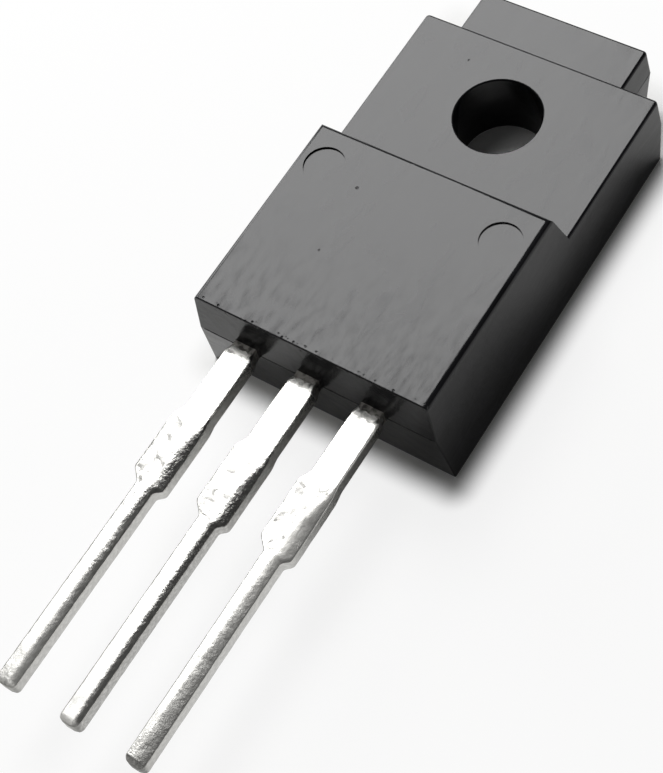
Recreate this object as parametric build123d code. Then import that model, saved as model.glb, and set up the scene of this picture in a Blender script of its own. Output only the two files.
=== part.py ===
"""Power transistor in a fully moulded, isolated three-lead package (TO-220 full-pack style).

The package lies on its back. X is its width, +Y runs from the leads to the mounting tongue and
+Z is the normal of the marked front face. The origin is the middle of the mounting hole on the
back face, which is the face that a heat sink touches. Millimetres.
"""
import math
import os

from build123d import *

# ---- mould form: heights above the back face ----------------------------------------------
BODY_THICKNESS = 4.5        # back face to the raised front face
PLATE_THICKNESS = 2.7       # back face to the lower front face, round the hole
TONGUE_THICKNESS = 2.6      # the end tongue is a touch lower than the plate
LEAD_MID_HEIGHT = 2.6       # mid-plane of the lead strip, and the mould's parting line there
PLATE_PARTING_HEIGHT = 1.45  # the parting line drops to here round the plate and the tongue

# ---- mould form: lengths from the hole's centre -------------------------------------------
LEAD_END = 12.0             # to the end that the leads leave, at its parting line
LEAD_END_FRONT_DRAFT = 0.15  # what that end leans in by, up to the raised front face
LEAD_END_BACK_DRAFT = 0.17   # and down to the back face
STEP_TOP = 4.0              # to the top edge of the sloped step
STEP_FOOT = 3.4             # to its foot on the plate
PLATE_END = 3.05            # to the shoulders beside the tongue, at the parting line
PLATE_END_FRONT_DRAFT = 0.08
PLATE_END_BACK_DRAFT = 0.4
TONGUE_END = 4.9            # to the end of the tongue, at the parting line

# ---- mould form: widths ---------------------------------------------------------------------
BODY_WIDTH = 10.0           # at the back face, its widest
SIDE_DRAFT = 0.095          # each side leans in by this much for each millimetre of height
TONGUE_WIDTH = 6.88         # at the parting line
TONGUE_SIDE_DRAFT = 0.1     # what each of its sides leans in by, up to its front face

CORNER_RADIUS = 0.15        # the plate's and the tongue's upright corners
BLOCK_EDGE_RADIUS = 0.22    # sides and step edge of the raised front face
LEAD_END_RADIUS = 0.05      # round the end that the leads leave
EDGE_RADIUS = 0.12          # round the plate's and the tongue's front faces
HOLE_RIM_RADIUS = 0.06

# ---- mounting hole and ejector marks --------------------------------------------------------
HOLE_DIAMETER = 3.2
MARK_DIAMETER = 1.5
MARK_DEPTH = 0.07
MARK_SPACING = 6.97         # between the two marks, across the package
MARK_FROM_HOLE = 5.44       # from the hole's centre, towards the leads

# ---- lead strip -----------------------------------------------------------------------------
LEAD_COUNT = 3
LEAD_PITCH = 2.54
LEAD_OFFSET = -0.22         # the strip sits this far off the package's centre line
LEAD_THICKNESS = 0.6
NECK_WIDTH = 0.88           # where a lead leaves the body, and inside it
NECK_LENGTH = 0.3           # from the body to where the lead starts to widen
NECK_RAMP = 0.2             # length over which it widens
ROOT_WIDTH = 1.06           # between the neck and the stubs
ROOT_LENGTH = 2.9           # from the body to the stubs
STUB_LEFT = 0.2             # what is left of the strip's tie bar on each side of a lead
STUB_RIGHT = 0.06
STUB_RAMP = 0.3             # length over which a stub runs out
STUB_LENGTH = 2.25          # of the left stub
STUB_LAG = 0.3              # what the right stub runs on past the left one
TIP_WIDTH = 0.68            # what enters the board
TIP_RAMP_LEFT = 0.4         # length over which the blade narrows to it on each side
TIP_RAMP_RIGHT = 0.2
LEAD_LENGTH = 13.5          # from the body to the tip
TIP_CORNER_RADIUS = 0.2
ROOT_EDGE_RADIUS = 0.05     # stamped edges
DIPPED_EDGE_RADIUS = 0.17   # edges under the thick dipped solder, from the stubs on

# ---- inside the moulding --------------------------------------------------------------------
PAD_THICKNESS = 1.3
PAD_HEIGHT = 0.7            # plastic left between the pad and the back face
PAD_WIDTH = 7.4
PAD_LEAD_END = 9.4          # from the hole's centre to the pad's edge nearest the leads
PAD_TAIL_END = 1.9          # from the hole's centre to its other edge, past the hole
PAD_HOLE_DIAMETER = 5.0     # clears the mounting hole by an isolating wall
PAD_CORNER_RADIUS = 0.5
POST_WIDTH = 2.1            # bonding posts at the inner ends of the outer leads
POST_LENGTH = 1.05
POST_GAP = 0.35             # from a post to the pad's edge, seen from the front
JOGGLE_RUN = 1.1            # length over which the middle lead drops to the pad
SOLDER_THICKNESS = 0.06
SOLDER_MARGIN = 0.12        # what the solder shows round the die
DIE_SIZE = 3.4
DIE_THICKNESS = 0.3
DIE_FROM_HOLE = 6.6
EMITTER_WIRE_DIAMETER = 0.36
EMITTER_WIRE_COUNT = 2
EMITTER_WIRE_SPACING = 0.7
BASE_WIRE_DIAMETER = 0.24
WIRE_LOOP_RISE = 0.55       # the loop's top above the post
WIRE_FOOT_LENGTH = 0.45     # flat length of each bond
WIRE_FOOT_SINK = 0.3        # share of the radius that a bond is flattened by
WIRE_CLIMB = 0.6            # run of the loop's slope for each millimetre it climbs from the die
WIRE_FALL = 0.8             # and for each millimetre it falls to the post
WIRE_BEND = 1.2             # bend radius, in wire diameters
POST_BOND_DEPTH = 0.72      # how far along a post's length the wires end, from the pad's side
BASE_BOND_SIDE = 1.0        # from the die's middle to the base wire's bond, to the left
EMITTER_BOND_SIDE = 0.55    # and to the middle of the emitter wires' bonds, to the right

# ---- derived --------------------------------------------------------------------------------
LEAD_TOP = LEAD_MID_HEIGHT + LEAD_THICKNESS / 2
LEAD_BOTTOM = LEAD_MID_HEIGHT - LEAD_THICKNESS / 2
PAD_TOP = PAD_HEIGHT + PAD_THICKNESS
DIE_SEAT = PAD_TOP + SOLDER_THICKNESS
DIE_TOP = DIE_SEAT + DIE_THICKNESS
POST_END = PAD_LEAD_END + POST_GAP
SEAM = 0.4                  # how far joined forms run into each other before they are fused
TINY = 1e-4                 # lengths under this count as none
MOST_LEAN = 30              # degrees an edge may lean and still count as upright


def prism(points, plane, length):
    """A straight bar on both sides of a plane, from its outline in that plane."""
    return extrude(plane * make_face(Polyline(*points, close=True)), amount=length / 2, both=True)


def side_profile():
    """The body between its two sides: lead end, raised block, sloped step and plate."""
    return [
        (-LEAD_END + LEAD_END_BACK_DRAFT, 0),
        (-LEAD_END, LEAD_MID_HEIGHT),
        (-LEAD_END + LEAD_END_FRONT_DRAFT, BODY_THICKNESS),
        (-STEP_TOP, BODY_THICKNESS),
        (-STEP_FOOT, PLATE_THICKNESS),
        (PLATE_END - PLATE_END_FRONT_DRAFT, PLATE_THICKNESS),
        (PLATE_END, PLATE_PARTING_HEIGHT),
        (PLATE_END - PLATE_END_BACK_DRAFT, 0),
    ]


def width_profile():
    """The body between its two ends: widest at the back, with one lean on each side."""
    half_back = BODY_WIDTH / 2
    half_front = half_back - SIDE_DRAFT * BODY_THICKNESS
    return [
        (-half_back, 0),
        (half_back, 0),
        (half_front, BODY_THICKNESS),
        (-half_front, BODY_THICKNESS),
    ]


def tongue():
    """The narrow end tongue, with its own drafts above and below the parting line."""
    root = PLATE_END - PLATE_END_BACK_DRAFT - SEAM
    along = [
        (root, 0),
        (TONGUE_END - PLATE_END_BACK_DRAFT, 0),
        (TONGUE_END, PLATE_PARTING_HEIGHT),
        (TONGUE_END - PLATE_END_FRONT_DRAFT, TONGUE_THICKNESS),
        (root, TONGUE_THICKNESS),
    ]
    half = TONGUE_WIDTH / 2
    drawn_in = half - TONGUE_SIDE_DRAFT
    across = [
        (-half, 0),
        (half, 0),
        (half, PLATE_PARTING_HEIGHT),
        (drawn_in, TONGUE_THICKNESS),
        (-drawn_in, TONGUE_THICKNESS),
        (-half, PLATE_PARTING_HEIGHT),
    ]
    form = prism(along, Plane.YZ, 2 * BODY_WIDTH) & prism(across, Plane.XZ, 4 * TONGUE_END)
    corners = [edge for edge in upright_edges(form) if (edge @ 0.5).Y > PLATE_END]
    form = fillet(corners, CORNER_RADIUS)
    rounded = [edge for edge in level_edges(form, TONGUE_THICKNESS) if (edge @ 0.5).Y > root + TINY]
    return fillet(rounded, EDGE_RADIUS)


def level_edges(solid, height):
    """The edges of a solid that lie level at a height, but for the inner corner of the step."""
    edges = []
    for edge in solid.edges():
        box = edge.bounding_box()
        at_foot = abs((edge @ 0.5).Y + STEP_FOOT) < TINY
        if abs(box.min.Z - height) < TINY and box.size.Z < TINY and not at_foot:
            edges.append(edge)
    return edges


def upright_edges(solid):
    """The edges of a solid that stand up, give or take a draft."""
    steepest = math.cos(math.radians(MOST_LEAN))
    return [edge for edge in solid.edges() if abs((edge % 0.5).Z) > steepest]


def body_block():
    """The raised block and the plate, as one drafted form with rounded front edges."""
    body = prism(side_profile(), Plane.YZ, 2 * BODY_WIDTH)
    body &= prism(width_profile(), Plane.XZ, 4 * LEAD_END)
    lead_end = -LEAD_END + max(LEAD_END_FRONT_DRAFT, LEAD_END_BACK_DRAFT) + TINY
    body = fillet([edge for edge in upright_edges(body) if (edge @ 0.5).Y > 0], CORNER_RADIUS)
    body = fillet([edge for edge in level_edges(body, BODY_THICKNESS)
                   if (edge @ 0.5).Y > lead_end], BLOCK_EDGE_RADIUS)
    body = fillet([edge for edge in level_edges(body, BODY_THICKNESS) + upright_edges(body)
                   if (edge @ 0.5).Y < lead_end], LEAD_END_RADIUS)
    return fillet(level_edges(body, PLATE_THICKNESS), EDGE_RADIUS)


def moulding():
    """The outer form of the moulded body, solid through."""
    body = body_block() + tongue()
    body -= Cylinder(HOLE_DIAMETER / 2, 3 * BODY_THICKNESS)
    rim = [edge for edge in level_edges(body, PLATE_THICKNESS)
           if edge.geom_type == GeomType.CIRCLE and edge.radius > HOLE_DIAMETER / 4]
    body = fillet(rim, HOLE_RIM_RADIUS)
    for side in (-1, 1):
        body -= Pos(side * MARK_SPACING / 2, -MARK_FROM_HOLE, BODY_THICKNESS) * Cylinder(
            MARK_DIAMETER / 2, 2 * MARK_DEPTH)
    return body


def lead_x(index):
    """Centre line of a lead, numbered from the left."""
    return LEAD_OFFSET + (index - (LEAD_COUNT - 1) / 2) * LEAD_PITCH


def flat_blade(outline):
    """A blade lying in the strip's plane, from its outline seen from the front."""
    return Pos(0, 0, LEAD_BOTTOM) * extrude(
        make_face(Polyline(*outline, close=True)), amount=LEAD_THICKNESS)


def soften(blade, radius):
    """Rounds a blade's long edges, all but those across its end nearest the body."""
    inner_end = blade.bounding_box().max.Y
    level = level_edges(blade, LEAD_TOP) + level_edges(blade, LEAD_BOTTOM)
    return fillet([edge for edge in level if edge.bounding_box().min.Y < inner_end - TINY], radius)


def lead_blade(index):
    """What shows of one lead: neck and root with stamped edges, then the dipped stubs and tip."""
    half_neck = NECK_WIDTH / 2
    half_root = ROOT_WIDTH / 2
    half_tip = TIP_WIDTH / 2
    neck_end = -LEAD_END - NECK_LENGTH
    dip_line = -LEAD_END - ROOT_LENGTH
    stub_start = dip_line - STUB_RAMP
    stub_end = stub_start - STUB_LENGTH
    tip_end = -LEAD_END - LEAD_LENGTH
    left = -half_root - STUB_LEFT
    right = half_root + STUB_RIGHT
    root = flat_blade([
        (-half_neck, -LEAD_END),
        (half_neck, -LEAD_END),
        (half_neck, neck_end),
        (half_root, neck_end - NECK_RAMP),
        (half_root, stub_start),
        (-half_root, stub_start),
        (-half_root, neck_end - NECK_RAMP),
        (-half_neck, neck_end),
    ])
    dipped = flat_blade([
        (-half_root, dip_line),
        (left, stub_start),
        (left, stub_end),
        (-half_tip, stub_end - TIP_RAMP_LEFT),
        (-half_tip, tip_end),
        (half_tip, tip_end),
        (half_tip, stub_end - STUB_LAG - TIP_RAMP_RIGHT),
        (right, stub_end - STUB_LAG),
        (right, stub_start),
        (half_root, dip_line),
    ])
    tip_corners = dipped.edges().filter_by(Axis.Z).sort_by(Axis.Y)[:2]
    dipped = soften(fillet(tip_corners, TIP_CORNER_RADIUS), DIPPED_EDGE_RADIUS)
    return Pos(lead_x(index), 0, 0) * (soften(root, ROOT_EDGE_RADIUS) + dipped)


def root_bar(index, length):
    """A lead's run inside the body, as wide as its neck."""
    return Pos(lead_x(index), -LEAD_END + length / 2, LEAD_MID_HEIGHT) * Box(
        NECK_WIDTH, length, LEAD_THICKNESS)


def outer_lead(index):
    """An outer lead with the wing that its bond wires land on."""
    buried = LEAD_END - POST_END
    wing = Pos(lead_x(index), -POST_END - POST_LENGTH / 2, LEAD_MID_HEIGHT) * Box(
        POST_WIDTH, POST_LENGTH, LEAD_THICKNESS)
    return lead_blade(index) + root_bar(index, buried) + wing


def middle_lead_with_pad():
    """The middle lead drops in a joggle to the thick pad that carries the die: one stamping."""
    pad_length = PAD_LEAD_END + PAD_TAIL_END
    pad = Pos(0, (PAD_TAIL_END - PAD_LEAD_END) / 2, PAD_HEIGHT + PAD_THICKNESS / 2) * Box(
        PAD_WIDTH, pad_length, PAD_THICKNESS)
    pad = fillet(pad.edges().filter_by(Axis.Z), PAD_CORNER_RADIUS)
    pad -= Cylinder(PAD_HOLE_DIAMETER / 2, 3 * BODY_THICKNESS)
    foot_bottom = PAD_TOP - LEAD_THICKNESS
    drop_start = -PAD_LEAD_END - JOGGLE_RUN
    joggle = [
        (-LEAD_END, LEAD_BOTTOM),
        (-LEAD_END, LEAD_TOP),
        (drop_start, LEAD_TOP),
        (-PAD_LEAD_END, PAD_TOP),
        (-PAD_LEAD_END + SEAM, PAD_TOP),
        (-PAD_LEAD_END + SEAM, foot_bottom),
        (-PAD_LEAD_END, foot_bottom),
        (drop_start, LEAD_BOTTOM),
    ]
    middle = (LEAD_COUNT - 1) // 2
    bar = Pos(lead_x(middle), 0, 0) * prism(joggle, Plane.YZ, NECK_WIDTH)
    return pad + bar + lead_blade(middle)


def die_stack():
    """The solder layer and the silicon chip on the pad."""
    at = (0, -DIE_FROM_HOLE)
    solder_size = DIE_SIZE + 2 * SOLDER_MARGIN
    solder = Pos(*at, PAD_TOP + SOLDER_THICKNESS / 2) * Box(
        solder_size, solder_size, SOLDER_THICKNESS)
    die = Pos(*at, DIE_SEAT + DIE_THICKNESS / 2) * Box(DIE_SIZE, DIE_SIZE, DIE_THICKNESS)
    return solder, die


def under_bond(at, height, diameter):
    """A block whose top is the metal that a wire's flattened foot sits on."""
    return Pos(at[0], at[1], height - diameter / 2) * Box(
        3 * WIRE_FOOT_LENGTH, 3 * WIRE_FOOT_LENGTH, diameter)


def bond_wire(start, end, diameter):
    """A wire wedge-bonded to the die at start and to a post at end, in one upright loop."""
    lift = diameter / 2 * (1 - WIRE_FOOT_SINK)
    run = math.dist(start, end)
    top = LEAD_TOP + WIRE_LOOP_RISE
    outline = [
        (0, DIE_TOP + lift),
        (WIRE_FOOT_LENGTH, DIE_TOP + lift),
        (WIRE_FOOT_LENGTH + WIRE_CLIMB * (top - DIE_TOP), top),
        (run - WIRE_FOOT_LENGTH - WIRE_FALL * WIRE_LOOP_RISE, top),
        (run - WIRE_FOOT_LENGTH, LEAD_TOP + lift),
        (run, LEAD_TOP + lift),
    ]
    heading = Vector(end[0] - start[0], end[1] - start[1], 0).normalized()
    upright = Plane(origin=(start[0], start[1], 0), x_dir=heading,
                    z_dir=heading.cross(Vector(0, 0, 1)))
    path = upright * FilletPolyline(*outline, radius=WIRE_BEND * diameter)
    section = Plane(origin=path @ 0, z_dir=path % 0) * Circle(diameter / 2)
    wire = sweep(section, path=path)
    return wire - under_bond(start, DIE_TOP, diameter) - under_bond(end, LEAD_TOP, diameter)


def bond_wires():
    """One wire to the left post, and the thicker ones side by side to the right post."""
    die_y = -DIE_FROM_HOLE
    post_y = -POST_END - POST_BOND_DEPTH * POST_LENGTH
    wires = {"base_bond_wire": bond_wire(
        (-BASE_BOND_SIDE, die_y), (lead_x(0), post_y), BASE_WIRE_DIAMETER)}
    for number in range(EMITTER_WIRE_COUNT):
        shift = (number - (EMITTER_WIRE_COUNT - 1) / 2) * EMITTER_WIRE_SPACING
        wires[f"emitter_bond_wire_{number + 1}"] = bond_wire(
            (EMITTER_BOND_SIDE + shift, die_y), (lead_x(LEAD_COUNT - 1) + shift, post_y),
            EMITTER_WIRE_DIAMETER)
    return wires


def make_parts():
    """Every piece of the transistor by its node name."""
    solder, die = die_stack()
    inner = {
        "base_lead": outer_lead(0),
        "collector_lead_and_pad": middle_lead_with_pad(),
        "emitter_lead": outer_lead(LEAD_COUNT - 1),
        "die_solder": solder,
        "silicon_die": die,
        **bond_wires(),
    }
    body = moulding()
    for piece in inner.values():
        body -= piece
    return {"moulded_body": body, **inner}


parts = make_parts()
os.makedirs("parts", exist_ok=True)
for name, solid in parts.items():
    solid.label = name
    export_step(solid, f"parts/{name}.step")
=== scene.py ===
"""Dresses the power transistor: satin epoxy moulding, solder-dipped leads and a plain pale studio.

Laid out as a Blender add-on and run as a script. Lengths are metres, as Blender stores them. Most
are written as millimetres times MM, and those of vector properties as plain metres. The materials'
patterns work in millimetres.
"""
import math
import random

import bmesh
import bpy
from bpy.props import FloatProperty, FloatVectorProperty, IntProperty, PointerProperty
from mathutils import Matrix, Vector


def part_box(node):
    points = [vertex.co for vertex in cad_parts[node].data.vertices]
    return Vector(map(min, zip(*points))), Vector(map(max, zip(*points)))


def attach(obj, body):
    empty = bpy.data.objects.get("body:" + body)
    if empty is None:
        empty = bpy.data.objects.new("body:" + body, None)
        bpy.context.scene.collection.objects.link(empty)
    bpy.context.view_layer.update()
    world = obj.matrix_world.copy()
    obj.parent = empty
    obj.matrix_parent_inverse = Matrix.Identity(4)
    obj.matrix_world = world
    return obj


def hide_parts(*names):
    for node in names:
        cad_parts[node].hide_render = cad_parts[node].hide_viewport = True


bl_info = {
    "name": "Power Transistor Dressing",
    "version": (1, 0, 0),
    "blender": (4, 5, 0),
    "location": "View3D > Sidebar > Transistor",
    "description": "Moulded body, solder-dipped leads and studio for a power transistor",
    "category": "Object",
}

MM = 0.001
LEVEL = math.cos(math.radians(0.5))     # faces within this angle lie in one flat
ROUNDED = math.cos(math.radians(50))    # faces within this angle belong to one rounding
JOINED = 0.0005 * MM                    # points of a CAD mesh that are nearer than this are one
LINE_CORNER = 0.3 * MM                  # what the parting line leaves out at the body's corners
BEAD_STEP = 0.05 * MM                   # between the rings of the bead of flash

# A solder coat's steps: along the lead, and across its section.
RING_STEP = 0.05 * MM
CORNER_STEPS = 4
ROLL_STEPS = 9
TOP_STEPS = 10
SIDE_STEPS = 5
BACK_STEPS = 8

# A solder coat's shape and marks.
EASE = 0.05 * MM            # what softens the corners of a lead's outline
SUNK = 0.3                  # share of its thickness by which the coat starts inside the lead
WANDER = 0.6                # share of the raggedness by which a point of the first edge strays
WANDER_DRAWS = 200          # random draws for those points, more than a ring has
WAVES = (3, 7, 11)          # turns of each wave round the lead in that edge
START_FROST = 0.7           # how matt the solder is where it starts
START_RUN = 1.3             # in lengths of the meniscus, where frost and raggedness run out
ROLL_SHAPE = 1.6            # power by which a rolled edge falls away
ROLL_RUN = 1.2 * MM         # from a full stub to where the rolled edge is widest
ROLL_PAST_STUB = 0.65       # share of that width just past the right shoulder
TIP_SHAPE = 1.5             # power by which the solder slopes down at the tip
TIP_FROST = 1.5             # in lengths of that slope, where the tip starts to get matt
TIP_NARROWING = 0.7         # share of the roll's width that the tip's rounding takes off
TIP_LEVELLING = 0.5         # share of the roll's drop that it takes off
TIP_LIFT = 0.4              # share of the rounding at the sides by which the back rises
DULL_RUN = 1.8 * MM         # the tip's stretch where a lead's front gets dull
CLEAR_RUN = 4 * MM          # the tip's stretch that has no mottles
ROOT_MIDDLE = 1.5 * MM      # from the body to where a root is least mottled

# Patterns to the millimetre. The solder's crystals are drawn coarser than real ones, to show.
CRYSTALS, RIPPLES, CLOUDS, STAINS, CRUMBS, TOOTH = 7.0, 2.2, 3.2, 5.0, 6.0, 2.0
FLASH_RAGS = 3 / MM         # ragged places to the metre of the bead of flash

# The front's marks, in millimetres: the pinholes with the radius of each, how far in from the
# lead end the crumbled edge and the scuffs run out, and how far below the front those two do.
PINHOLES = ((-1.94, -5.75, 4.5, 0.06), (-1.75, -8.42, 4.5, 0.04), (-2.22, 1.72, 2.7, 0.04))
CRUMBLED = (0.24, 0.32)
SCUFFED = 5.5
FRONT_DEPTH = (0.2, 0.1)
UNEVENNESS = 0.03           # what the flow streaks add to the skin's roughness or take off it

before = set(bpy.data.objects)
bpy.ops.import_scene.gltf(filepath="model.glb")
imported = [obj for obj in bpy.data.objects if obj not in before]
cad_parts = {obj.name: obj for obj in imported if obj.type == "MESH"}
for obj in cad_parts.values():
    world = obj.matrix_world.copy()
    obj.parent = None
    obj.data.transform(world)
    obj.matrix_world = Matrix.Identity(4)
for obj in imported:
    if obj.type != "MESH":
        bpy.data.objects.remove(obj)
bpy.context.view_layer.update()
BODY_LOW, BODY_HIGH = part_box("moulded_body")
OUTER_LEADS = [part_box("base_lead"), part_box("emitter_lead")]

# Each lead's node, and its centre line: the outer two from their boxes, the middle one between.
LEFT_X, RIGHT_X = [(low.x + high.x) / 2 for low, high in OUTER_LEADS]
LEADS = {
    "base_lead": LEFT_X,
    "collector_lead_and_pad": (LEFT_X + RIGHT_X) / 2,
    "emitter_lead": RIGHT_X,
}
LEAD_LOW, LEAD_HIGH = OUTER_LEADS[0]


def linear(code):
    """An sRGB hex value such as #36373a as linear red, green, blue and alpha."""
    channels = [int(code[place:place + 2], 16) / 255 for place in (1, 3, 5)]
    return [c / 12.92 if c <= 0.04045 else ((c + 0.055) / 1.055) ** 2.4 for c in channels] + [1]


def shade(tint, share):
    """A linear colour with its red, green and blue times a share."""
    return [share * c for c in tint[:3]] + [1]


def colour(name, description, code):
    """A colour property from an sRGB hex value."""
    return FloatVectorProperty(
        name=name, description=description, subtype="COLOR", size=4, min=0, max=1,
        default=linear(code))


def length(name, description, millimetres):
    """A length property, given in millimetres."""
    return FloatProperty(
        name=name, description=description, default=millimetres * MM, unit="LENGTH", precision=5)


def fraction(name, description, default):
    """A property from 0 to 1."""
    return FloatProperty(name=name, description=description, default=default, min=0, max=1)


def wattage(name, description, watts):
    """A lamp's power."""
    return FloatProperty(
        name=name, description=description, default=watts, unit="POWER", precision=3)


def position(name, description, metres):
    """A place in the scene."""
    return FloatVectorProperty(
        name=name, description=description, subtype="TRANSLATION", size=3, default=metres)


def lead_lengths(name, description, metres):
    """A property with one length for each lead, from left to right."""
    return FloatVectorProperty(
        name=name, description=description, subtype="XYZ", size=3, unit="LENGTH", precision=5,
        default=metres)


def per_lead(name, description, shares):
    """A property with one share from 0 to 1 for each lead, from left to right."""
    return FloatVectorProperty(
        name=name, description=description, subtype="XYZ", size=3, default=shares, min=0, max=1)


class MouldingSettings(bpy.types.PropertyGroup):
    """The moulded body's finish and its parting line."""
    epoxy_colour: colour("Epoxy", "Colour of the moulding compound", "#121214")
    epoxy_roughness: fraction("Roughness", "Roughness of the moulded skin", 0.17)
    epoxy_gloss: fraction("Gloss", "Share of the usual reflection of a bare resin, which the"
                          " filler grains at the surface break up", 0.25)
    least_flat: FloatProperty(
        name="Least Flat", description="Smallest area, in square millimetres, of a face that is"
        " shaded as a true flat", default=1.2)
    grain: length("Grain", "Size of the mould's spark-eroded grain", 0.06)
    flow: length("Flow Marks", "Width of the streaks left by the flowing compound", 0.8)
    scuff: length("Scuffs", "Width of the dull scuffs", 0.25)
    scuffing: fraction("Scuffing", "What the scuffs add to the roughness at the lead end", 0.14)
    flash_radius: length("Flash", "Radius of the bead of flash on the parting line", 0.018)
    corner_radius: length("Corner Radius", "Radius of the tongue's corners", 0.15)
    lead_line: length("Lead End Line", "Height of the parting line on the lead end", 2.6)
    plate_line: length("Plate Line", "Height of the parting line round plate and tongue", 1.45)
    shoulder: length("Shoulder", "From the hole's centre to the shoulders", 3.05)
    plate_half: length("Plate Half Width", "Half the plate's width at its parting line", 4.86)
    tongue_half: length("Tongue Half Width", "Half the tongue's width at its parting line", 3.44)
    flash_seed: IntProperty(name="Seed", description="Seed of the flash's raggedness", default=3)


class SolderSettings(bpy.types.PropertyGroup):
    """The solder that the leads were dipped in, over the stamped blades."""
    solder_colour: colour("Solder", "Colour of the bright solder coat", "#dcdbd7")
    bare_colour: colour("Bare Lead", "Colour of the thin plating beside the body", "#a3a09b")
    coat: length("Coat", "Thickness of the solder over the stamped blade", 0.015)
    gap: length("Bare Neck", "From the body to where the solder starts", 0.16)
    meniscus: length("Meniscus", "Length over which the solder thickens from nothing", 0.35)
    ragged: length("Ragged", "How far the solder's first edge wanders", 0.07)
    neck_half: length("Neck Half Width", "Half the bare neck's width", 0.44)
    neck_ramp: length("Neck Ramp", "Length over which the neck widens", 0.2)
    root_half: length("Root Half Width", "Half the blade's width past the neck", 0.53)
    left_stub: length("Left Stub", "What the tie bar's stub adds on the left", 0.2)
    right_stub: length("Right Stub", "What the tie bar's stub adds on the right", 0.06)
    tip_half: length("Tip Half Width", "Half the tip's width", 0.34)
    stub_from: length("Stub From", "From the body to where the stubs start to run out", 2.85)
    stub_ramp: length("Stub Ramp", "Length over which a stub runs out", 0.4)
    left_end: length("Left Shoulder", "From the body to where the left stub ends", 5.45)
    left_ramp: length("Left Shoulder Ramp", "Length over which the left side steps in", 0.4)
    right_end: length("Right Shoulder", "From the body to where the right stub ends", 5.75)
    right_ramp: length("Right Shoulder Ramp", "Length over which the right side steps in", 0.2)
    root_corner: length("Root Corner", "Rounding of the long edges as far as the stubs", 0.07)
    corner: length("Corner", "Rounding of the coat's long edges from there", 0.04)
    roll_drop: length("Roll Drop", "What the rolled right edge falls by", 0.14)
    roll_width: lead_lengths("Roll Width", "Width of the rolled right edge of each lead's stubs",
                             (0.0004, 0.00036, 0.00052))
    tip_radius: length("Tip Radius", "Rounding of the solder at the tip's sides", 0.2)
    tip_slope: length("Tip Slope", "Length over which the solder slopes down at the tip", 0.2)
    tip_drop: lead_lengths("Tip Drop", "What the solder falls by at each lead's tip",
                           (0.00005, 0.00004, 0.00022))
    tip_roll: per_lead("Tip Roll", "Width of the rolled edge at each lead's tip, as a share of its"
                       " width at the stubs", (0.8, 0.6, 0.9))
    tip_tarnish: per_lead("Tip Tarnish", "How dark each lead's tip is", (0.0, 0.0, 0.9))
    tip_dulling: per_lead("Tip Dulling", "How dull each lead's front gets towards its tip",
                          (0.3, 0.1, 0.5))
    lump: length("Lumps", "Height of the lumps in the solder", 0.03)
    lump_size: length("Lump Size", "Width of the lumps in the solder", 0.5)
    seed: IntProperty(name="Seed", description="Seed of the solder's lumps", default=7)
    # the rolled edges' darkening: grainy tarnishing, with painted shade where they turn away from
    # the lamps
    tarnish_and_shade_near: per_lead("Tarnish and Shade Near", "How dark each lead's rolled edge is at the stub",
                           (1.0, 1.0, 0.25))
    tarnish_and_shade_far: per_lead("Tarnish and Shade Far", "How dark each lead's rolled edge is towards the tip",
                          (0.15, 0.4, 0.6))
    # painted shade: each lead's right side, which faces away from the lamps, darkened in colour
    side_shade: per_lead("Side Shade", "How dark each lead's right side is",
                           (0.5, 0.75, 0.5))
    frost_near: per_lead("Frost Near", "How matt each lead's rolled edge is at the stub",
                         (0.06, 0.06, 0.55))
    frost_far: per_lead("Frost Far", "How matt each lead's rolled edge is towards the tip",
                        (0.6, 0.32, 0.6))


class StudioSettings(bpy.types.PropertyGroup):
    """The floor, the room, the lamps and the camera."""
    floor_colour: colour("Floor", "Colour of the matt white floor", "#f6f6f5")
    floor_lift: fraction("Floor Lift", "Share of plain white in what is seen of the floor, away"
                         " from the body", 0.85)
    lift_to: length("Lift To", "From the body to where the floor in view is fully lifted", 1.2)
    mirror_from: length("Mirror From", "From the body to where the mirrored floor is lifted", 3)
    mirror_to: length("Mirror To", "From the body to where the mirrored floor is fully lifted", 6)
    floor_size: length("Floor Size", "Length of the floor's sides", 3000)
    wall_colour: colour("Walls", "Colour of the pale walls, low down all round", "#ececec")
    ceiling_colour: colour("Ceiling", "Colour of the dim room above the walls", "#4a4a4a")
    softbox_place: position("Softbox", "Middle of the softbox", (-0.066, 0.068, 0.130))
    softbox_size: length("Softbox Size", "Length of the softbox's sides", 84)
    softbox_power: wattage("Softbox Power", "Power of the softbox", 0.212)
    side_place: position("Side Light", "Middle of the low side light, which the left edges mirror",
                         (-0.128, 0.061, 0.060))
    side_size: length("Side Light Size", "Length of the side light's sides", 70)
    side_power: wattage("Side Light Power", "Power of the side light", 0.108)
    fill_place: position("Fill", "Middle of the weak fill", (-0.066, -0.002, 0.130))
    fill_size: length("Fill Size", "Length of the fill's sides", 56)
    fill_power: wattage("Fill Power", "Power of the fill", 0.016)
    camera_place: position("Camera", "Place of the camera", (0.02272, -0.02983, 0.05115))
    camera_turn: FloatVectorProperty(
        name="Camera Turn", description="Rotation of the camera", subtype="EULER", size=3,
        default=(0.50756, 0.16607, 0.56943))
    camera_lens: FloatProperty(
        name="Lens", description="Focal length on a 36 mm wide sensor", default=92.95)
    camera_shift: FloatVectorProperty(
        name="Shift", description="Lens shift, as a share of the width", size=2,
        default=(-0.0371, -0.0149))


def add_node(tree, kind, inputs=None, **settings):
    """Adds a node with its settings.

    Each input is a value, or what feeds it: an output, or a node by its first output in use.
    """
    node = tree.nodes.new(kind)
    for name, value in settings.items():
        setattr(node, name, value)
    for key, value in (inputs or {}).items():
        if isinstance(value, bpy.types.Node):
            value = next(output for output in value.outputs if output.enabled)
        if isinstance(value, bpy.types.NodeSocket):
            tree.links.new(value, node.inputs[key])
        else:
            node.inputs[key].default_value = value
    return node


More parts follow.
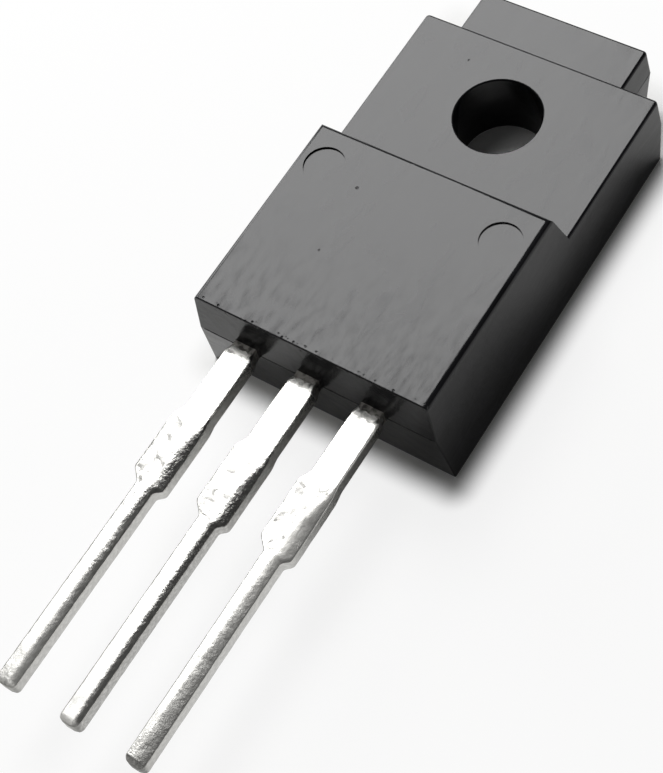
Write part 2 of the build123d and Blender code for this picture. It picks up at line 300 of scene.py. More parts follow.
def new_material(name):
    """A material with an empty node tree, and the millimetre coordinates its patterns use."""
    material = bpy.data.materials.new(name)
    material.use_nodes = True
    tree = material.node_tree
    tree.nodes.clear()
    place = add_node(tree, "ShaderNodeTexCoord").outputs["Object"]
    per_mm = 1 / MM
    scaled = add_node(tree, "ShaderNodeMapping", {"Vector": place, "Scale": (per_mm,) * 3})
    return material, tree, scaled


def finish_material(tree, inputs):
    """Feeds a Principled surface and the material's output."""
    surface = add_node(tree, "ShaderNodeBsdfPrincipled", inputs)
    add_node(tree, "ShaderNodeOutputMaterial", {"Surface": surface})


def on_front(tree, at, share):
    """A share kept to the front: it runs out just below the front's edges."""
    height = add_node(tree, "ShaderNodeSeparateXYZ", {0: at}).outputs["Z"]
    return add_node(tree, "ShaderNodeMapRange", {
        "Value": height, "From Min": BODY_HIGH.z / MM - FRONT_DEPTH[0],
        "From Max": BODY_HIGH.z / MM - FRONT_DEPTH[1], "To Max": share})


def scuffs(tree, at, s):
    """What short dull scuffs along the front add to its roughness, most at the lead end."""
    inwards = add_node(tree, "ShaderNodeSeparateXYZ", {0: at}).outputs["Y"]
    drawn = add_node(tree, "ShaderNodeMapping", {"Vector": at, "Scale": (1.0, 0.35, 1.0)})
    strokes = add_node(tree, "ShaderNodeTexNoise", {
        "Vector": drawn, "Scale": MM / s.scuff, "Detail": 2.0})
    worn = add_node(tree, "ShaderNodeMapRange", {
        "Value": inwards, "From Min": BODY_LOW.y / MM, "From Max": BODY_LOW.y / MM + SCUFFED,
        "To Min": s.scuffing, "To Max": 0.0})
    return add_node(tree, "ShaderNodeMapRange", {
        "Value": strokes, "From Min": 0.42, "From Max": 0.72, "To Max": on_front(tree, at, worn)})


def pits(tree, at):
    """Where the front is pitted: by flecks along the lead end's crumbled edge, and by pinholes.

    The flecks are the middles of most of a pattern's cells.
    """
    inwards = add_node(tree, "ShaderNodeSeparateXYZ", {0: at}).outputs["Y"]
    near = add_node(tree, "ShaderNodeMapRange", {
        "Value": inwards, "From Min": BODY_LOW.y / MM + CRUMBLED[0],
        "From Max": BODY_LOW.y / MM + CRUMBLED[1], "To Min": 1.0, "To Max": 0.0})
    cell = add_node(tree, "ShaderNodeTexVoronoi", {"Vector": at, "Scale": CRUMBS})
    fleck = add_node(tree, "ShaderNodeMapRange", {
        "Value": cell.outputs["Distance"], "From Min": 0.1, "From Max": 0.3, "To Min": 1.0,
        "To Max": 0.0})
    picked = add_node(tree, "ShaderNodeMath", {
        0: cell.outputs["Color"], 1: 0.4}, operation="GREATER_THAN")
    flecks = add_node(tree, "ShaderNodeMath", {0: fleck, 1: picked}, operation="MULTIPLY")
    holes = add_node(tree, "ShaderNodeMath", {
        0: flecks, 1: on_front(tree, at, near)}, operation="MULTIPLY")
    for *place, radius in PINHOLES:
        away = add_node(tree, "ShaderNodeVectorMath", {0: at, 1: place}, operation="DISTANCE")
        hole = add_node(tree, "ShaderNodeMapRange", {
            "Value": away, "From Min": 0.4 * radius, "From Max": radius, "To Min": 1.0,
            "To Max": 0.0})
        holes = add_node(tree, "ShaderNodeMath", {0: holes, 1: hole}, operation="MAXIMUM")
    return holes


def epoxy_moulding(s):
    """Silica-filled epoxy moulded in a steel tool, which gives a smooth dark skin.

    Its gloss is low but clear, with faint streaks where the compound flowed, dull scuffs, a few
    pinholes, and a crumbled line of flecks at the lead end's front edge.
    """
    material, tree, at = new_material("Filled Epoxy Moulding Compound")
    grain = add_node(tree, "ShaderNodeTexNoise", {
        "Vector": at, "Scale": MM / s.grain, "Detail": 3.0, "Roughness": 0.6})
    turned = add_node(tree, "ShaderNodeMapping", {
        "Vector": at, "Rotation": (0.0, 0.0, math.radians(-12)), "Scale": (1.0, 0.4, 1.0)})
    streaks = add_node(tree, "ShaderNodeTexNoise", {
        "Vector": turned, "Scale": MM / s.flow, "Detail": 2.5, "Distortion": 0.6})
    spread = add_node(tree, "ShaderNodeMapRange", {
        "Value": streaks, "From Min": 0.3, "From Max": 0.72})
    tint = add_node(tree, "ShaderNodeMix", {
        "Factor": spread, "A": shade(s.epoxy_colour, 0.6), "B": shade(s.epoxy_colour, 1.6)},
        data_type="RGBA")
    uneven = add_node(tree, "ShaderNodeMapRange", {
        "Value": streaks, "From Min": 0.3, "From Max": 0.7,
        "To Min": s.epoxy_roughness - UNEVENNESS, "To Max": s.epoxy_roughness + UNEVENNESS})
    rough = add_node(tree, "ShaderNodeMath", {0: uneven, 1: scuffs(tree, at, s)}, operation="ADD")
    flowed = add_node(tree, "ShaderNodeBump", {
        "Height": streaks, "Strength": 0.3, "Distance": 0.05 * MM})
    fine = add_node(tree, "ShaderNodeBump", {
        "Height": grain, "Strength": 0.35, "Distance": 0.004 * MM, "Normal": flowed})
    pitted = add_node(tree, "ShaderNodeBump", {
        "Height": pits(tree, at), "Strength": 1.0, "Distance": 0.03 * MM, "Normal": fine},
        invert=True)
    finish_material(tree, {
        "Base Color": tint, "Roughness": rough, "IOR": 1.53, "Specular IOR Level": s.epoxy_gloss,
        "Normal": pitted})
    return material


def bright_solder(s):
    """Tin solder that set in air after dipping: bright and smooth where it lies flat.

    Where it rolled over the stamped edge it is grainy and darker, from tarnishing and from painted
    shade, or frosted and soft. Each lead's right side is darkened by painted shade, and the flat
    faces have faint dull mottles.
    """
    material, tree, at = new_material("Dipped Tin Solder")
    marks = {name: add_node(tree, "ShaderNodeAttribute", attribute_name=name).outputs["Fac"]
             for name in ("tarnish_and_shade", "frosted", "mottled")}
    crystals = add_node(tree, "ShaderNodeTexNoise", {
        "Vector": at, "Scale": CRYSTALS, "Detail": 5.0, "Roughness": 0.6})
    ripples = add_node(tree, "ShaderNodeTexNoise", {
        "Vector": at, "Scale": RIPPLES, "Detail": 3.0, "Distortion": 0.6})
    clouds = add_node(tree, "ShaderNodeTexNoise", {
        "Vector": at, "Scale": CLOUDS, "Detail": 3.5, "Distortion": 0.8})
    fewer = add_node(tree, "ShaderNodeMapRange", {
        "Value": marks["mottled"], "To Min": -0.3, "To Max": 0.0})
    spots = add_node(tree, "ShaderNodeMath", {0: clouds, 1: fewer}, operation="ADD")

    # darker grains where tarnishing and painted shade lie, on the rolled edges, the right sides
    # and towards the tips, then mottles on the flats, each over the colour so far
    tint = list(s.solder_colour)
    for mark, noise, lowest, highest, least, brightness in (
            (marks["tarnish_and_shade"], crystals, 0.38, 0.55, 0.6, 0.36),
            (1.0, spots, 0.38, 0.575, 0.0, 0.23)):
        spread = add_node(tree, "ShaderNodeMapRange", {
            "Value": noise, "From Min": lowest, "From Max": highest, "To Min": least})
        share = add_node(tree, "ShaderNodeMath", {0: spread, 1: mark}, operation="MULTIPLY")
        tint = add_node(tree, "ShaderNodeMix", {
            "Factor": share, "A": tint, "B": shade(s.solder_colour, brightness)}, data_type="RGBA")
    rough = add_node(tree, "ShaderNodeMapRange", {
        "Value": marks["frosted"], "To Min": 0.18, "To Max": 0.7})
    graininess = add_node(tree, "ShaderNodeMapRange", {
        "Value": marks["tarnish_and_shade"], "To Min": 0.05, "To Max": 0.85})
    fine = add_node(tree, "ShaderNodeBump", {
        "Height": crystals, "Strength": graininess, "Distance": 0.05 * MM})
    bump = add_node(tree, "ShaderNodeBump", {
        "Height": ripples, "Strength": 0.2, "Distance": 0.03 * MM, "Normal": fine})
    finish_material(tree, {
        "Base Color": tint, "Metallic": 1.0, "Roughness": rough, "Normal": bump})
    return material


def plated_copper(s):
    """Copper alloy strip with a thin grey tin plating, stained dark in spots beside the body."""
    material, tree, at = new_material("Tin-Plated Copper Strip")
    spots = add_node(tree, "ShaderNodeTexNoise", {
        "Vector": at, "Scale": STAINS, "Detail": 4.0, "Distortion": 0.5})
    spread = add_node(tree, "ShaderNodeMapRange", {
        "Value": spots, "From Min": 0.4, "From Max": 0.62})
    tint = add_node(tree, "ShaderNodeMix", {
        "Factor": spread, "A": list(s.bare_colour), "B": shade(s.bare_colour, 0.25)},
        data_type="RGBA")
    bump = add_node(tree, "ShaderNodeBump", {
        "Height": spots, "Strength": 0.6, "Distance": 0.02 * MM})
    finish_material(tree, {"Base Color": tint, "Metallic": 1.0, "Roughness": 0.45, "Normal": bump})
    return material


def plain_inner(name, code, metallic, roughness, grain):
    """A finish of a sealed inner piece: one colour with a fine grain of the given millimetres."""
    material, tree, at = new_material(name)
    noise = add_node(tree, "ShaderNodeTexNoise", {"Vector": at, "Scale": 1 / grain, "Detail": 3.0})
    base = linear(code)
    tint = add_node(tree, "ShaderNodeMix", {
        "Factor": noise, "A": shade(base, 0.8), "B": base}, data_type="RGBA")
    bump = add_node(tree, "ShaderNodeBump", {
        "Height": noise, "Strength": 0.3, "Distance": 0.005 * MM})
    finish_material(tree, {
        "Base Color": tint, "Metallic": metallic, "Roughness": roughness, "Normal": bump})
    return material


def matt_floor(s):
    """Matt white board. What is seen of it, straight or mirrored, is lifted towards white.

    It isn't lifted under the body, where its shadow shows.
    """
    material, tree, at = new_material("Matt White Board")
    tooth = add_node(tree, "ShaderNodeTexNoise", {"Vector": at, "Scale": TOOTH, "Detail": 2.0})
    bump = add_node(tree, "ShaderNodeBump", {
        "Height": tooth, "Strength": 0.05, "Distance": 0.01 * MM})
    board = add_node(tree, "ShaderNodeBsdfDiffuse", {
        "Color": list(s.floor_colour), "Normal": bump})
    white = add_node(tree, "ShaderNodeEmission", {"Color": (1, 1, 1, 1), "Strength": 1.0})

    # distance from the body's outline, by what the place is outside its half width and length
    middle = BODY_LOW.lerp(BODY_HIGH, 0.5) / MM
    half = (BODY_HIGH - BODY_LOW) / 2 / MM
    centred = add_node(tree, "ShaderNodeVectorMath", {0: at, 1: middle}, operation="SUBTRACT")
    sideways = add_node(tree, "ShaderNodeVectorMath", {0: centred}, operation="ABSOLUTE")
    outside = add_node(tree, "ShaderNodeVectorMath", {
        0: sideways, 1: (half.x, half.y, half.z)}, operation="SUBTRACT")
    clear = add_node(tree, "ShaderNodeVectorMath", {0: outside, 1: (0, 0, 0)}, operation="MAXIMUM")
    away = add_node(tree, "ShaderNodeVectorMath", {0: clear}, operation="LENGTH")
    path = add_node(tree, "ShaderNodeLightPath")
    mirrored = add_node(tree, "ShaderNodeMath", {
        0: path.outputs["Is Glossy Ray"], 1: path.outputs["Is Transmission Ray"]},
        operation="MAXIMUM")
    shares = []
    for rays, first, last in ((path.outputs["Is Camera Ray"], 0.0, s.lift_to),
                              (mirrored, s.mirror_from, s.mirror_to)):
        lift = add_node(tree, "ShaderNodeMapRange", {
            "Value": away, "From Min": first / MM, "From Max": last / MM, "To Min": 0.0,
            "To Max": s.floor_lift}, interpolation_type="SMOOTHSTEP")
        shares.append(add_node(tree, "ShaderNodeMath", {0: rays, 1: lift}, operation="MULTIPLY"))
    share = add_node(tree, "ShaderNodeMath", {0: shares[0], 1: shares[1]}, operation="MAXIMUM")
    mixed = add_node(tree, "ShaderNodeMixShader", {0: share, 1: board, 2: white})
    add_node(tree, "ShaderNodeOutputMaterial", {"Surface": mixed})
    return material


def studio_world(s):
    """The room: pale walls low down all round, and a dim ceiling above them."""
    world = bpy.data.worlds.new("Studio")
    world.use_nodes = True
    tree = world.node_tree
    tree.nodes.clear()
    towards = add_node(tree, "ShaderNodeTexCoord").outputs["Generated"]
    parts = add_node(tree, "ShaderNodeSeparateXYZ", {0: towards})
    high = add_node(tree, "ShaderNodeMapRange", {
        "Value": parts.outputs["Z"], "From Min": 0.1, "From Max": 0.25},
        interpolation_type="SMOOTHSTEP")
    room = add_node(tree, "ShaderNodeMix", {
        "Factor": high, "A": list(s.wall_colour), "B": list(s.ceiling_colour)}, data_type="RGBA")
    light = add_node(tree, "ShaderNodeBackground", {"Color": room})
    add_node(tree, "ShaderNodeOutputWorld", {"Surface": light})
    return world


def new_tree(name, inputs):
    """A Geometry Nodes tree with named inputs and one geometry output."""
    tree = bpy.data.node_groups.new(name, "GeometryNodeTree")
    for label, kind, description in inputs:
        socket = tree.interface.new_socket(label, in_out="INPUT", socket_type=kind)
        socket.description = description
    tree.interface.new_socket("Geometry", in_out="OUTPUT", socket_type="NodeSocketGeometry")
    return tree, add_node(tree, "NodeGroupInput").outputs


def run_tree(tree, name, data, values):
    """Runs a tree on an object's data with its inputs set, and gives a plain mesh object."""
    maker = bpy.data.objects.new(name + "_maker", data)
    bpy.context.scene.collection.objects.link(maker)
    modifier = maker.modifiers.new(tree.name, "NODES")
    modifier.node_group = tree
    for item in tree.interface.items_tree:
        if item.in_out == "INPUT" and item.name in values:
            modifier[item.identifier] = values[item.name]
    graph = bpy.context.evaluated_depsgraph_get()
    mesh = bpy.data.meshes.new_from_object(maker.evaluated_get(graph), depsgraph=graph)
    bpy.data.objects.remove(maker)
    if not mesh.polygons:
        raise RuntimeError(f"{name} came out empty")
    return new_piece(name, mesh)


def new_piece(name, mesh):
    """An object of the mesh, at the origin."""
    mesh.name = name
    piece = bpy.data.objects.new(name, mesh)
    bpy.context.scene.collection.objects.link(piece)
    return piece


def lumps_tree():
    """The lumps of a solder coat, and its material on the faces marked as solder."""
    tree, given = new_tree("Solder Lumps", [
        ("Geometry", "NodeSocketGeometry", "The lead with its smooth coat"),
        ("Lump Height", "NodeSocketFloat", "Height of the lumps where the coat is thick"),
        ("Lump Scale", "NodeSocketFloat", "Lumps for each metre"),
        ("Seed", "NodeSocketFloat", "Seed of the lumps"),
        ("Material", "NodeSocketMaterial", "The solder"),
    ])
    lumps = add_node(tree, "ShaderNodeTexNoise", {
        "Vector": add_node(tree, "GeometryNodeInputPosition"), "W": given["Seed"],
        "Scale": given["Lump Scale"], "Detail": 2.0}, noise_dimensions="4D")
    centred = add_node(tree, "ShaderNodeMath", {0: lumps, 1: 0.5}, operation="SUBTRACT")
    thick = add_node(tree, "GeometryNodeInputNamedAttribute", {"Name": "thick"}, data_type="FLOAT")
    height = add_node(tree, "ShaderNodeMath", {
        0: thick, 1: given["Lump Height"]}, operation="MULTIPLY")
    rise = add_node(tree, "ShaderNodeMath", {0: centred, 1: height}, operation="MULTIPLY")
    outwards = add_node(tree, "ShaderNodeVectorMath", {
        0: add_node(tree, "GeometryNodeInputNormal"), "Scale": rise}, operation="SCALE")
    lumpy = add_node(tree, "GeometryNodeSetPosition", {
        "Geometry": given["Geometry"], "Offset": outwards})
    real = add_node(tree, "GeometryNodeRealizeInstances", {"Geometry": lumpy})
    dipped = add_node(tree, "GeometryNodeInputNamedAttribute", {
        "Name": "dipped"}, data_type="BOOLEAN")
    made = add_node(tree, "GeometryNodeSetMaterial", {
        "Geometry": real, "Selection": dipped, "Material": given["Material"]})
    add_node(tree, "NodeGroupOutput", {"Geometry": made})
    return tree


def flash_tree():
    """A ragged bead of flash along each spline of the parting line."""
    tree, given = new_tree("Mould Flash", [
        ("Geometry", "NodeSocketGeometry", "The parting line, as splines"),
        ("Radius", "NodeSocketFloat", "Radius of the bead"),
        ("Seed", "NodeSocketFloat", "Seed of the raggedness"),
        ("Material", "NodeSocketMaterial", "The moulding compound"),
    ])
    path = add_node(tree, "GeometryNodeResampleCurve", {
        "Curve": given["Geometry"], "Length": BEAD_STEP}, mode="LENGTH")
    ragged = add_node(tree, "ShaderNodeTexNoise", {
        "Vector": add_node(tree, "GeometryNodeInputPosition"), "W": given["Seed"],
        "Scale": FLASH_RAGS, "Detail": 3.0}, noise_dimensions="4D")
    size = add_node(tree, "ShaderNodeMapRange", {
        "Value": ragged, "From Min": 0.3, "From Max": 0.7, "To Min": 0.55, "To Max": 1.15})
    uneven = add_node(tree, "GeometryNodeSetCurveRadius", {"Curve": path, "Radius": size})
    section = add_node(tree, "GeometryNodeCurvePrimitiveCircle", {
        "Resolution": 10, "Radius": given["Radius"]})
    bead = add_node(tree, "GeometryNodeCurveToMesh", {
        "Curve": uneven, "Profile Curve": section, "Scale": size, "Fill Caps": True})
    smooth = add_node(tree, "GeometryNodeSetShadeSmooth", {"Geometry": bead})
    real = add_node(tree, "GeometryNodeRealizeInstances", {"Geometry": smooth})
    made = add_node(tree, "GeometryNodeSetMaterial", {
        "Geometry": real, "Material": given["Material"]})
    add_node(tree, "NodeGroupOutput", {"Geometry": made})
    return tree


def merged_copy(node):
    """A CAD node's mesh as a bmesh, with its loose triangles joined."""
    form = bmesh.new()
    form.from_mesh(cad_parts[node].data)
    bmesh.ops.remove_doubles(form, verts=form.verts, dist=JOINED)
    bmesh.ops.dissolve_degenerate(form, edges=form.edges, dist=JOINED)
    form.faces.ensure_lookup_table()
    return form


def flat_areas(form):
    """For each face, the whole area of the flat that it lies in."""
    areas = {}
    for seed in form.faces:
        if seed in areas:
            continue
        flat, waiting = {seed}, [seed]
        while waiting:
            face = waiting.pop()
            for near in {other for edge in face.edges for other in edge.link_faces}:
                if near not in flat and near.normal.dot(seed.normal) > LEVEL:
                    flat.add(near)
                    waiting.append(near)
        whole = sum(face.calc_area() for face in flat)
        areas.update(dict.fromkeys(flat, whole))
    return areas


def true_normals(form, least_flat):
    """Corner normals that keep flats flat and let the rounded edges run into them smoothly."""
    areas = flat_areas(form)
    normals = []
    for face in form.faces:
        for corner in face.loops:
            if areas[face] >= least_flat:
                normals.append(face.normal.copy())
                continue
            around = [near for near in corner.vert.link_faces
                      if near.normal.dot(face.normal) > ROUNDED]
            flats = [near for near in around if areas[near] >= least_flat]
            if flats:
                normals.append(max(flats, key=lambda near: near.normal.dot(face.normal)).normal)
            else:
                whole = sum((near.normal * near.calc_area() for near in around), Vector())
                normals.append(whole.normalized())
    return [tuple(normal) for normal in normals]


def paint(node, material):
    """Gives a CAD node's object one material."""
    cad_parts[node].data.materials.clear()
    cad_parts[node].data.materials.append(material)


class TRANSISTOR_OT_mould_body(bpy.types.Operator):
    """Skin the moulded body with the satin epoxy compound"""
    bl_idname = "transistor.mould_body"
    bl_label = "Moulded Body"

    def execute(self, context):
        settings = context.scene.transistor_moulding
        paint("moulded_body", epoxy_moulding(settings))
        form = merged_copy("moulded_body")
        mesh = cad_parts["moulded_body"].data.copy()
        normals = true_normals(form, settings.least_flat * MM * MM)
        form.to_mesh(mesh)
        form.free()
        mesh.shade_smooth()
        mesh.normals_split_custom_set(normals)
        piece = new_piece("moulded_body_skin", mesh)
        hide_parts("moulded_body")
        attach(piece, "root")
        return {"FINISHED"}


class TRANSISTOR_OT_add_flash(bpy.types.Operator):
    """Run the bead of mould flash along the parting line"""
    bl_idname = "transistor.add_flash"
    bl_label = "Parting Line Flash"

    def execute(self, context):
        s = context.scene.transistor_moulding
        solder = context.scene.transistor_solder
        # the spans between the leads on the lead end, then one run round plate and tongue
        edges = [-s.plate_half + LINE_CORNER]
        for centre in LEADS.values():
            edges += [centre - solder.root_half, centre + solder.root_half]
        edges.append(s.plate_half - LINE_CORNER)
        line = bpy.data.curves.new("parting_line", "CURVE")
        line.dimensions = "3D"
        for first, last in zip(edges[::2], edges[1::2]):
            add_spline(line, [(first, BODY_LOW.y, s.lead_line), (last, BODY_LOW.y, s.lead_line)])
        rim = s.flash_radius / 2
        half = [(s.tongue_half - s.corner_radius, BODY_HIGH.y - rim)]
        half += [(s.tongue_half - s.corner_radius * (1 - math.sin(turn)) - rim,
                  BODY_HIGH.y - s.corner_radius * (1 - math.cos(turn)) - rim)
                 for turn in (math.pi / 6, math.pi / 3, math.pi / 2)]
        half += [(s.tongue_half - rim, s.shoulder), (s.plate_half - LINE_CORNER / 2, s.shoulder)]
        around = [(-x, y) for x, y in reversed(half)] + half
        add_spline(line, [(x, y, s.plate_line) for x, y in around])
        piece = run_tree(flash_tree(), "parting_line_flash", line, {
            "Radius": s.flash_radius, "Seed": float(s.flash_seed),
            "Material": bpy.data.materials["Filled Epoxy Moulding Compound"]})
        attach(piece, "root")
        return {"FINISHED"}


def add_spline(line, points):
    """Adds a straight-run spline through the points to a curve."""
    spline = line.splines.new("POLY")
    spline.points.add(len(points) - 1)
    for made, place in zip(spline.points, points):
        made.co = (*place, 1)


def along(distance, stations):
    """A size at a distance from the body, straight from station to station, corners eased."""
    total = 0.0
    for shift in (-EASE, 0.0, EASE):
        size = stations[0][1]
        for (first, low), (last, high) in zip(stations, stations[1:]):
            share = min(max((distance + shift - first) / (last - first), 0.0), 1.0)
            size += (high - low) * share
        total += size
    return total / 3


def quarter(middle, radius, start):
    """Points on a quarter circle, clockwise from the start angle in degrees."""
    turns = [math.radians(start - 90 * step / CORNER_STEPS) for step in range(CORNER_STEPS + 1)]
    return [(middle[0] + radius * math.cos(turn), middle[1] + radius * math.sin(turn))
            for turn in turns]


def between(first, last, count):
    """Evenly spaced points between two points, without the two."""
    return [(first[0] + (last[0] - first[0]) * step / (count + 1),
             first[1] + (last[1] - first[1]) * step / (count + 1))
            for step in range(1, count + 1)]


def lead_section(left, right, low, high, corner, roll, drop):
    """The coat's cross-section, clockwise from its left side: flat, but rolled at top right.

    The roll ends a third of a corner in from the right side, which starts half a corner below
    it. Returns the points across and up, and for each the run that it lies on.
    """
    top_left = quarter((left + corner, high - corner), corner, 180)
    crest = (right - roll, high)
    rolled = [(crest[0] + (roll - corner / 3) * step / ROLL_STEPS,
               high - drop * (step / ROLL_STEPS) ** ROLL_SHAPE)
              for step in range(ROLL_STEPS + 1)]
    bottom_right = quarter((right - corner, low + corner), corner, 0)
    bottom_left = quarter((left + corner, low + corner), corner, -90)
    side_top = (right, high - drop - corner / 2)
    runs = [("", top_left), ("top", between(top_left[-1], crest, TOP_STEPS)), ("roll", rolled),
            ("side", [side_top]), ("side", between(side_top, bottom_right[0], SIDE_STEPS)),
            ("side", bottom_right),
            ("", between(bottom_right[-1], bottom_left[0], BACK_STEPS)), ("", bottom_left),
            ("", between(bottom_left[-1], top_left[0], SIDE_STEPS))]
    return [(point, name) for name, run in runs for point in run]


def bare_root(node, s):
    """A lead's CAD form as far as its bare neck, cut off there and closed."""
    form = merged_copy(node)
    cut = bmesh.ops.bisect_plane(
        form, geom=[*form.verts, *form.edges, *form.faces],
        plane_co=(0, BODY_LOW.y - s.gap - s.neck_ramp, 0), plane_no=(0, -1, 0),
        clear_outer=True)
    rim = [part for part in cut["geom_cut"] if isinstance(part, bmesh.types.BMEdge)]
    bmesh.ops.contextual_create(form, geom=rim)
    return form


def lead_stations(number, end, s):
    """What changes along a lead, each as stations: a distance from the body, and the value.

    The left and right sides and the corner are the blade's, the coat is the solder's thickness,
    and the roll is the width of its rolled edge. The rest are shares: how high its lumps rise,
    and how mottled, dulled and frosted it is, and how far its rolled edge is darkened by
    tarnishing and by painted shade.
    """
    stub_full = s.stub_from + s.stub_ramp
    past_stub = s.right_end + s.right_ramp
    widest = s.roll_width[number]
    stations = {
        "corner": [(s.stub_from, s.root_corner), (stub_full, s.corner)],
        "coat": [(s.gap, -SUNK * s.coat), (s.gap + s.meniscus, s.coat)],
        "roll": [(s.stub_from, s.corner), (stub_full + ROLL_RUN, widest), (s.right_end, widest),
                 (past_stub, ROLL_PAST_STUB * widest), (end, s.tip_roll[number] * widest)],
        "thick": [(s.gap, 0.1), (s.stub_from, 0.25), (stub_full, 1.0)],
        "mottled": [(s.gap, 0.8), (ROOT_MIDDLE, 0.6), (s.stub_from, 0.7), (stub_full, 1.0),
                    (s.right_end, 1.0), (past_stub, 0.5), (end - CLEAR_RUN, 0.0)],
        "dulled": [(end - DULL_RUN, 0.0), (end, s.tip_dulling[number])],
        "tarnish_and_shade": [(stub_full, s.tarnish_and_shade_near[number]), (end, s.tarnish_and_shade_far[number])],
        "frosted": [(stub_full, s.frost_near[number]), (end, s.frost_far[number])],
    }
    for side, stub, shoulder, ramp in (("left", s.left_stub, s.left_end, s.left_ramp),
                                       ("right", s.right_stub, s.right_end, s.right_ramp)):
        stations[side] = [
            (s.gap, s.neck_half), (s.gap + s.neck_ramp, s.root_half),
            (s.stub_from, s.root_half), (stub_full, s.root_half + stub),
            (shoulder, s.root_half + stub), (shoulder + ramp, s.tip_half)]
    return stations


def dipped_lead(node, centre, number, s):
    """A lead as one mesh: its CAD form as far as the bare neck, and the solder coat from there.

    The coat's faces are marked as dipped. Its points keep how thick the solder lies there, which
    its lumps follow, how far it is darkened by tarnishing and by painted shade, and how frosted
    and mottled it is.
    """
    form = bare_root(node, s)
    dipped = form.faces.layers.bool.new("dipped")
    thick, tarnish_and_shade, frosted, mottled = [
        form.verts.layers.float.new(name)
        for name in ("thick", "tarnish_and_shade", "frosted", "mottled")]

    end = BODY_LOW.y - LEAD_LOW.y + s.coat
    stations = lead_stations(number, end, s)
    wave = random.Random(s.seed + number)
    phases = [wave.uniform(0, math.tau) for _ in WAVES]
    wander = [wave.uniform(-WANDER, WANDER) for _ in range(WANDER_DRAWS)]
    count = round((end - s.gap) / RING_STEP)
    rings = []
    for step in range(count + 1):
        distance = s.gap + (end - s.gap) * step / count
        here = {name: along(distance, run) for name, run in stations.items()}

        # how far into the tip's rounding and slope the ring is, and what they take off it
        past = max(distance - (end - s.tip_radius), 0.0) / s.tip_radius
        drawn_in = s.tip_radius * (1 - math.sqrt(max(1 - past ** 2, 0.0)))
        sloped = s.tip_drop[number] * max((distance - end) / s.tip_slope + 1, 0.0) ** TIP_SHAPE
        width = here["roll"] * (1 - TIP_NARROWING * past)
        fullness = min(width / s.roll_width[number], 1.0)
        drop = s.roll_drop * fullness * (1 - TIP_LEVELLING * past)
        section = lead_section(
            -here["left"] - here["coat"] + drawn_in, here["right"] + here["coat"] - drawn_in,
            LEAD_LOW.z - here["coat"] + TIP_LIFT * drawn_in, LEAD_HIGH.z + here["coat"] - sloped,
            here["corner"], width, drop)

        starting = max(1 - (distance - s.gap) / (START_RUN * s.meniscus), 0.0)
        at_tip = min(max((distance - end) / s.tip_slope + TIP_FROST, 0.0), 1.0)
        # darkening by run: rolled edge, tarnishing and painted shade; right side, painted shade
        # only
        darkness_by_run = {"roll": here["tarnish_and_shade"], "side": s.side_shade[number],
                   "top": here["dulled"]}
        ring = []
        for place, ((x, z), run) in enumerate(section):
            turn = math.tau * place / len(section)
            swell = sum(math.sin(turns * turn + phase) for turns, phase in zip(WAVES, phases))
            jag = s.ragged * starting * (wander[place] + swell / len(WAVES))
            vert = form.verts.new((centre + x, BODY_LOW.y - distance - jag, z))
            vert[thick] = here["thick"]
            vert[tarnish_and_shade] = max(darkness_by_run.get(run, 0.0), at_tip * s.tip_tarnish[number])
            vert[frosted] = max(here["frosted"] * (run == "roll"), START_FROST * starting,
                                at_tip, here["dulled"])
            vert[mottled] = here["mottled"] * (run == "top")
            ring.append(vert)
        rings.append(ring)

    coat = [form.faces.new(rings[0]), form.faces.new(list(reversed(rings[-1])))]
    for ring, after in zip(rings, rings[1:]):
        for place in range(len(ring)):
            coat.append(form.faces.new(
                (ring[place - 1], after[place - 1], after[place], ring[place])))
    for face in coat:
        face[dipped] = True
        face.smooth = True
    bmesh.ops.recalc_face_normals(form, faces=coat)
    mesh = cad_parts[node].data.copy()
    form.to_mesh(mesh)
    form.free()
    return mesh


class TRANSISTOR_OT_dip_leads(bpy.types.Operator):
    """Coat the three leads with solder from just outside the body to their tips"""
    bl_idname = "transistor.dip_leads"
    bl_label = "Solder-Dipped Leads"

    def execute(self, context):
        s = context.scene.transistor_solder
        bare = plated_copper(s)
        solder = bright_solder(s)
        tree = lumps_tree()
        for number, (node, centre) in enumerate(LEADS.items()):
            paint(node, bare)
            piece = run_tree(tree, f"{node}_dipped", dipped_lead(node, centre, number, s), {
                "Lump Height": s.lump, "Lump Scale": 1 / s.lump_size,
                "Seed": float(s.seed + number), "Material": solder})
            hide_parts(node)
            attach(piece, "root")
        return {"FINISHED"}


class TRANSISTOR_OT_finish_inside(bpy.types.Operator):
    """Give the sealed inner pieces their finishes"""
    bl_idname = "transistor.finish_inside"
    bl_label = "Sealed Inner Pieces"

    def execute(self, context):
        # dull grey from a reflow oven, dark polished wafer, and drawn soft aluminium
        finishes = {
            "die_solder": plain_inner(
                "Reflowed Die Solder", "#a4a5a8", metallic=1.0, roughness=0.5, grain=0.05),
            "silicon_die": plain_inner(
                "Polished Silicon", "#4a4d55", metallic=0.3, roughness=0.15, grain=0.2),
            "bond_wire": plain_inner(
                "Drawn Aluminium Wire", "#d8dadd", metallic=1.0, roughness=0.3, grain=0.03),
        }
        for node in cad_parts:
            for piece, material in finishes.items():
                if piece in node:
                    paint(node, material)
        return {"FINISHED"}


def add_lamp(name, place, size, power):
    """A square area lamp that faces the middle of the body."""
    light = bpy.data.lights.new(name, "AREA")
    light.shape = "SQUARE"
    light.size = size
    light.energy = power
    lamp = bpy.data.objects.new(name, light)
    lamp.location = place
    away = lamp.location - BODY_LOW.lerp(BODY_HIGH, 0.5)
    lamp.rotation_euler = away.to_track_quat("Z", "Y").to_euler()
    lamp.visible_camera = False
    bpy.context.scene.collection.objects.link(lamp)


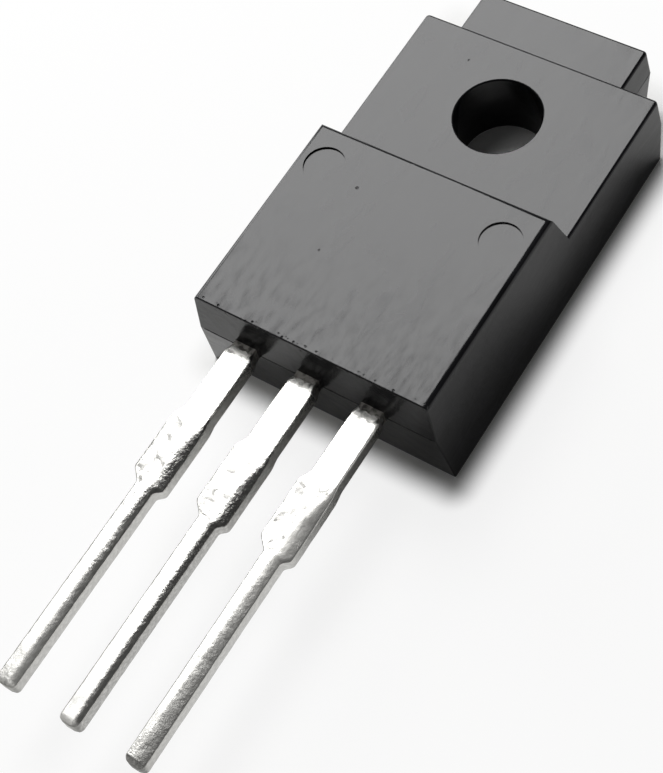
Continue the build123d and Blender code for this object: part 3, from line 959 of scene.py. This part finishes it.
class TRANSISTOR_OT_set_studio(bpy.types.Operator):
    """Set up the pale floor, the dim room, the three lamps and the camera"""
    bl_idname = "transistor.set_studio"
    bl_label = "Studio"

    def execute(self, context):
        s = context.scene.transistor_studio
        bpy.ops.mesh.primitive_plane_add(size=s.floor_size, location=(0, 0, BODY_LOW.z))
        floor = context.object
        floor.name = "floor"
        floor.data.materials.append(matt_floor(s))

        context.scene.world = studio_world(s)

        add_lamp("softbox", s.softbox_place, s.softbox_size, s.softbox_power)
        add_lamp("side_light", s.side_place, s.side_size, s.side_power)
        add_lamp("fill", s.fill_place, s.fill_size, s.fill_power)

        lens = bpy.data.cameras.new("camera")
        lens.sensor_fit = "HORIZONTAL"
        lens.lens = s.camera_lens
        lens.shift_x, lens.shift_y = s.camera_shift
        lens.clip_start = 1 * MM
        camera = bpy.data.objects.new("camera", lens)
        camera.location = s.camera_place
        camera.rotation_euler = s.camera_turn
        context.scene.collection.objects.link(camera)
        context.scene.camera = camera
        context.scene.view_settings.view_transform = "Standard"
        return {"FINISHED"}


class TRANSISTOR_PT_pieces(bpy.types.Panel):
    """Lists the transistor's pieces with their settings"""
    bl_idname = "TRANSISTOR_PT_pieces"
    bl_label = "Power Transistor"
    bl_space_type = "VIEW_3D"
    bl_region_type = "UI"
    bl_category = "Transistor"

    def draw(self, context):
        for group, operators in GROUPS.items():
            box = self.layout.box()
            for operator in operators:
                box.operator(operator.bl_idname)
            settings = getattr(context.scene, group)
            for name in settings.__annotations__:
                box.prop(settings, name)


SETTINGS = {
    "transistor_moulding": MouldingSettings,
    "transistor_solder": SolderSettings,
    "transistor_studio": StudioSettings,
}
GROUPS = {
    "transistor_moulding": [TRANSISTOR_OT_mould_body, TRANSISTOR_OT_add_flash],
    "transistor_solder": [TRANSISTOR_OT_dip_leads, TRANSISTOR_OT_finish_inside],
    "transistor_studio": [TRANSISTOR_OT_set_studio],
}
CLASSES = [*SETTINGS.values(), *[made for group in GROUPS.values() for made in group],
           TRANSISTOR_PT_pieces]


def register():
    """Registers the classes and hangs the settings on the scene."""
    for made in CLASSES:
        bpy.utils.register_class(made)
    for name, group in SETTINGS.items():
        setattr(bpy.types.Scene, name, PointerProperty(type=group))


def unregister():
    """Takes the settings and the classes away again."""
    for name in SETTINGS:
        delattr(bpy.types.Scene, name)
    for made in reversed(CLASSES):
        bpy.utils.unregister_class(made)


def main():
    register()
    bpy.ops.transistor.mould_body()
    bpy.ops.transistor.add_flash()
    bpy.ops.transistor.dip_leads()
    bpy.ops.transistor.finish_inside()
    bpy.ops.transistor.set_studio()


if __name__ == "__main__":
    main()
